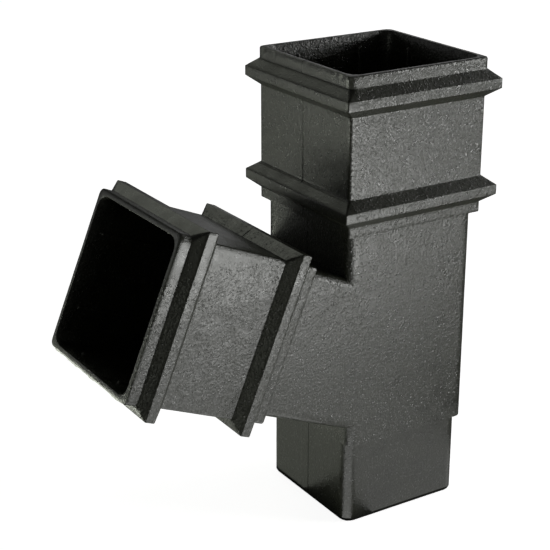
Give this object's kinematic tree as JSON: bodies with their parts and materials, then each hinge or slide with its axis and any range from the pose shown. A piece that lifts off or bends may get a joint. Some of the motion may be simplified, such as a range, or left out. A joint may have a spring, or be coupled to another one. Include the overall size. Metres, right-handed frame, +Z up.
{
  "type": "square downpipe y-branch",
  "caption": "Square downpipe branch moulded in one piece, with a plain spigot below, a beaded socket above and a beaded side socket on a slanting branch, to join rainwater pipes.",
  "frame": {"origin": "centre of the spigot's lower end, on the axis of the main pipe", "axes": "+Z up along the main pipe towards the main socket, the branch leaves towards -X and upwards, Y across"},
  "size_m": [0.1889, 0.0836, 0.217],
  "materials": {
    "textured_plastic": "black with a fine cast-iron stipple and a low satin sheen"
  },
  "bodies": {
    "root": {"y_branch": "textured_plastic"}
  },
  "joints": []
}
